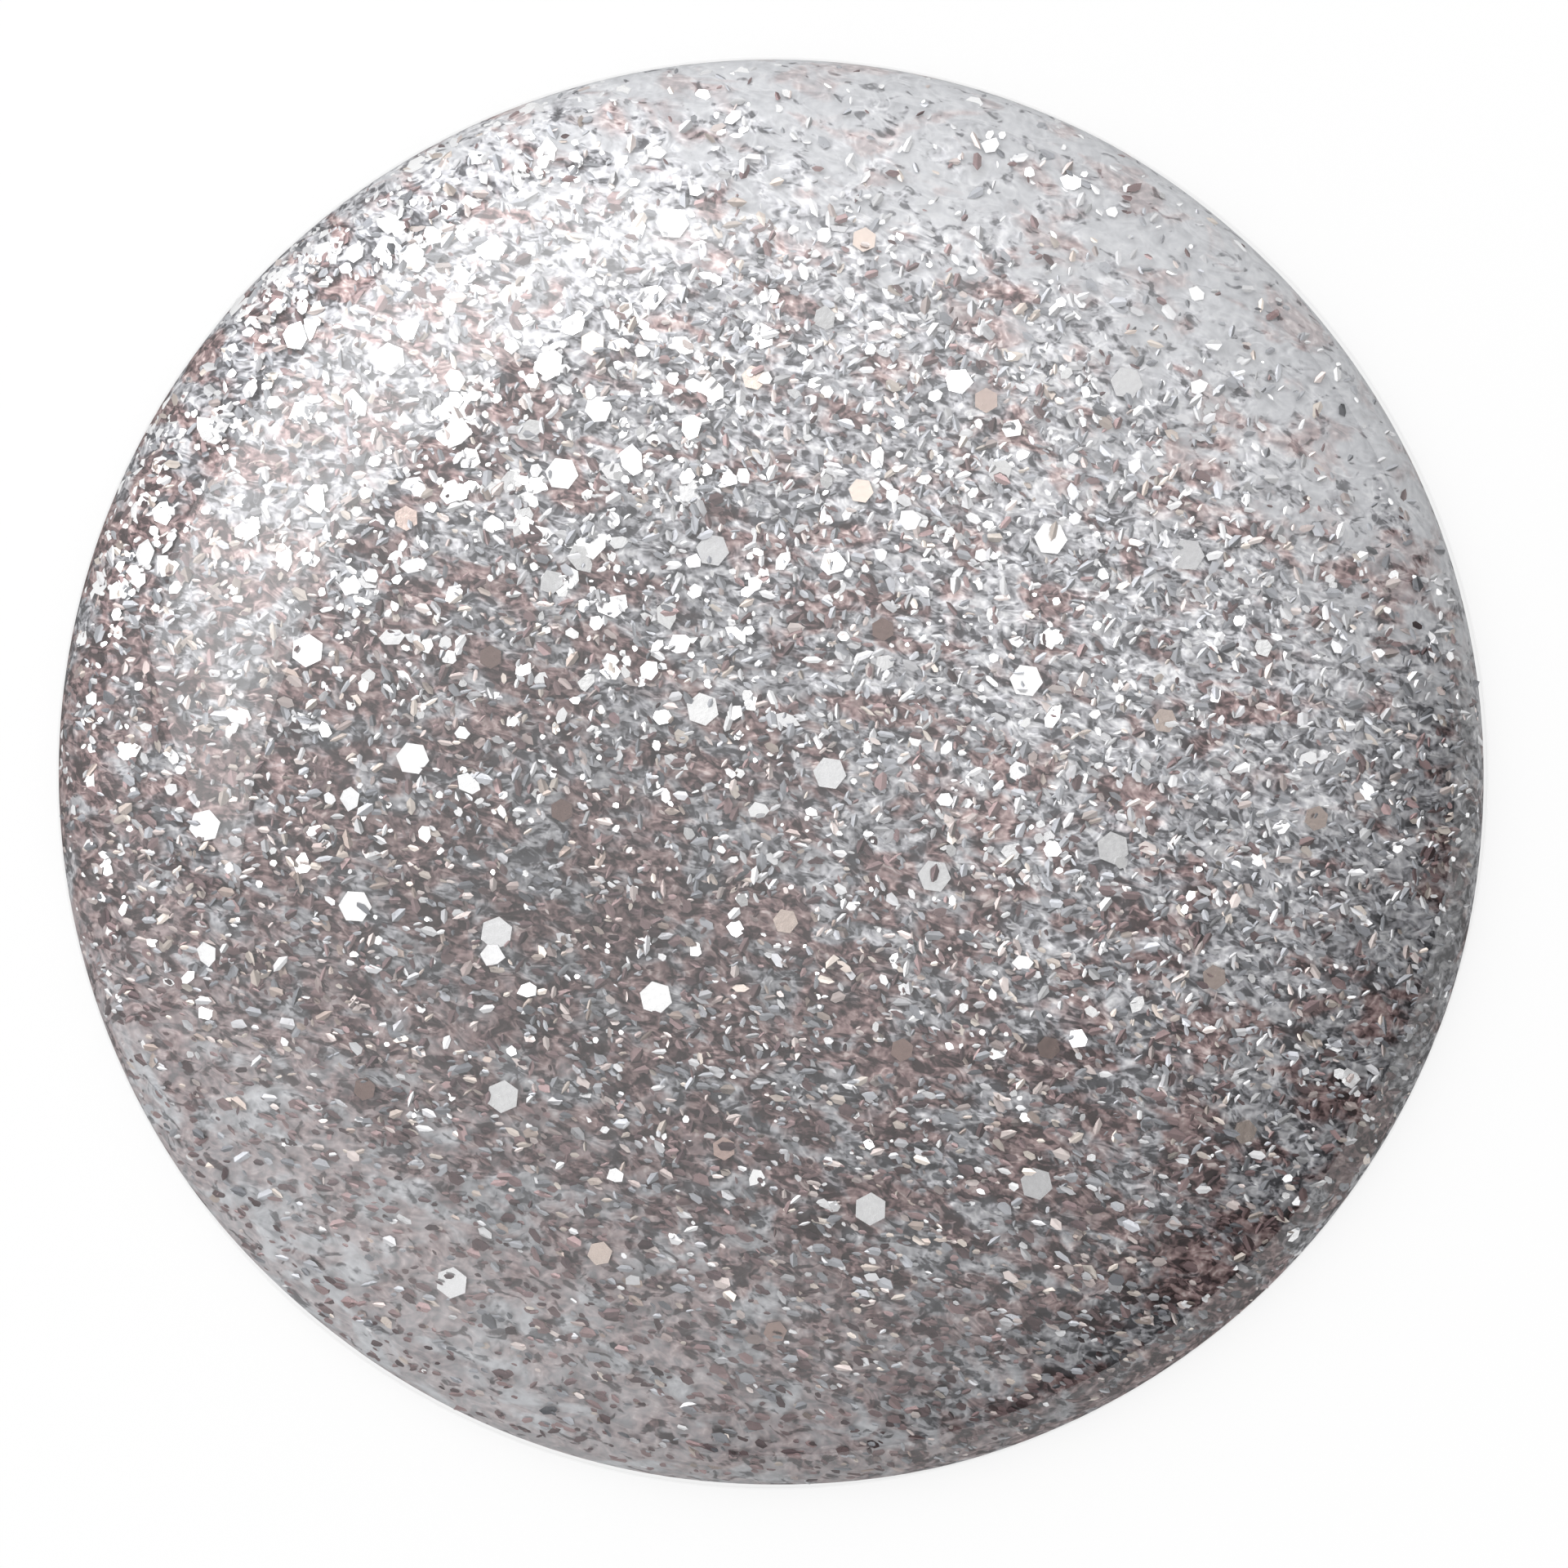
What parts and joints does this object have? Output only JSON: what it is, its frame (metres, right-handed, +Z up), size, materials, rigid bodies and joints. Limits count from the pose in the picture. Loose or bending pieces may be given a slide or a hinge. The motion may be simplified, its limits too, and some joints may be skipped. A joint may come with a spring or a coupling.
{
  "type": "nail polish drop",
  "caption": "Round domed drop of cured glitter nail polish: a tinted lacquer pool, silver, rose and bronze flakes lying on it and a clear gloss layer, flat underneath, a hard colour sample.",
  "frame": {"origin": "centre of the flat underside, on the surface that the drop rests on", "axes": "+Z up along the axis of the dome, towards the glossy crown; +Y towards the top of the picture"},
  "size_m": [0.018, 0.018, 0.0022],
  "materials": {
    "tinted_lacquer": "grey mauve nitrocellulose lacquer filled with fine glitter",
    "clear_lacquer": "clear glossy lacquer, self levelled",
    "silver_film": "aluminised polyester glitter film, silver",
    "rose_film": "aluminised polyester glitter film, rose tint",
    "bronze_film": "aluminised polyester glitter film, dark bronze tint"
  },
  "bodies": {
    "root": {"tinted_lacquer_pool": "tinted_lacquer", "clear_gloss_layer": "clear_lacquer", "silver_flake_01": "silver_film", "silver_flake_02": "silver_film", "silver_flake_03": "silver_film", "silver_flake_04": "silver_film", "silver_flake_05": "silver_film", "silver_flake_06": "silver_film", "silver_flake_07": "silver_film", "silver_flake_08": "silver_film", "silver_flake_09": "silver_film", "silver_flake_10": "silver_film", "silver_flake_11": "silver_film", "silver_flake_12": "silver_film", "silver_flake_13": "silver_film", "silver_flake_14": "silver_film", "silver_flake_15": "silver_film", "silver_flake_16": "silver_film", "silver_flake_17": "silver_film", "silver_flake_18": "silver_film", "silver_flake_19": "silver_film", "silver_flake_20": "silver_film", "silver_flake_21": "silver_film", "silver_flake_22": "silver_film", "rose_flake_01": "rose_film", "rose_flake_02": "rose_film", "rose_flake_03": "rose_film", "rose_flake_04": "rose_film", "rose_flake_05": "rose_film", "rose_flake_06": "rose_film", "rose_flake_07": "rose_film", "rose_flake_08": "rose_film", "rose_flake_09": "rose_film", "rose_flake_10": "rose_film", "rose_flake_11": "rose_film", "rose_flake_12": "rose_film", "bronze_flake_01": "bronze_film", "bronze_flake_02": "bronze_film", "bronze_flake_03": "bronze_film", "bronze_flake_04": "bronze_film", "bronze_flake_05": "bronze_film", "bronze_flake_06": "bronze_film", "bronze_flake_07": "bronze_film", "bronze_flake_08": "bronze_film"}
  },
  "joints": []
}
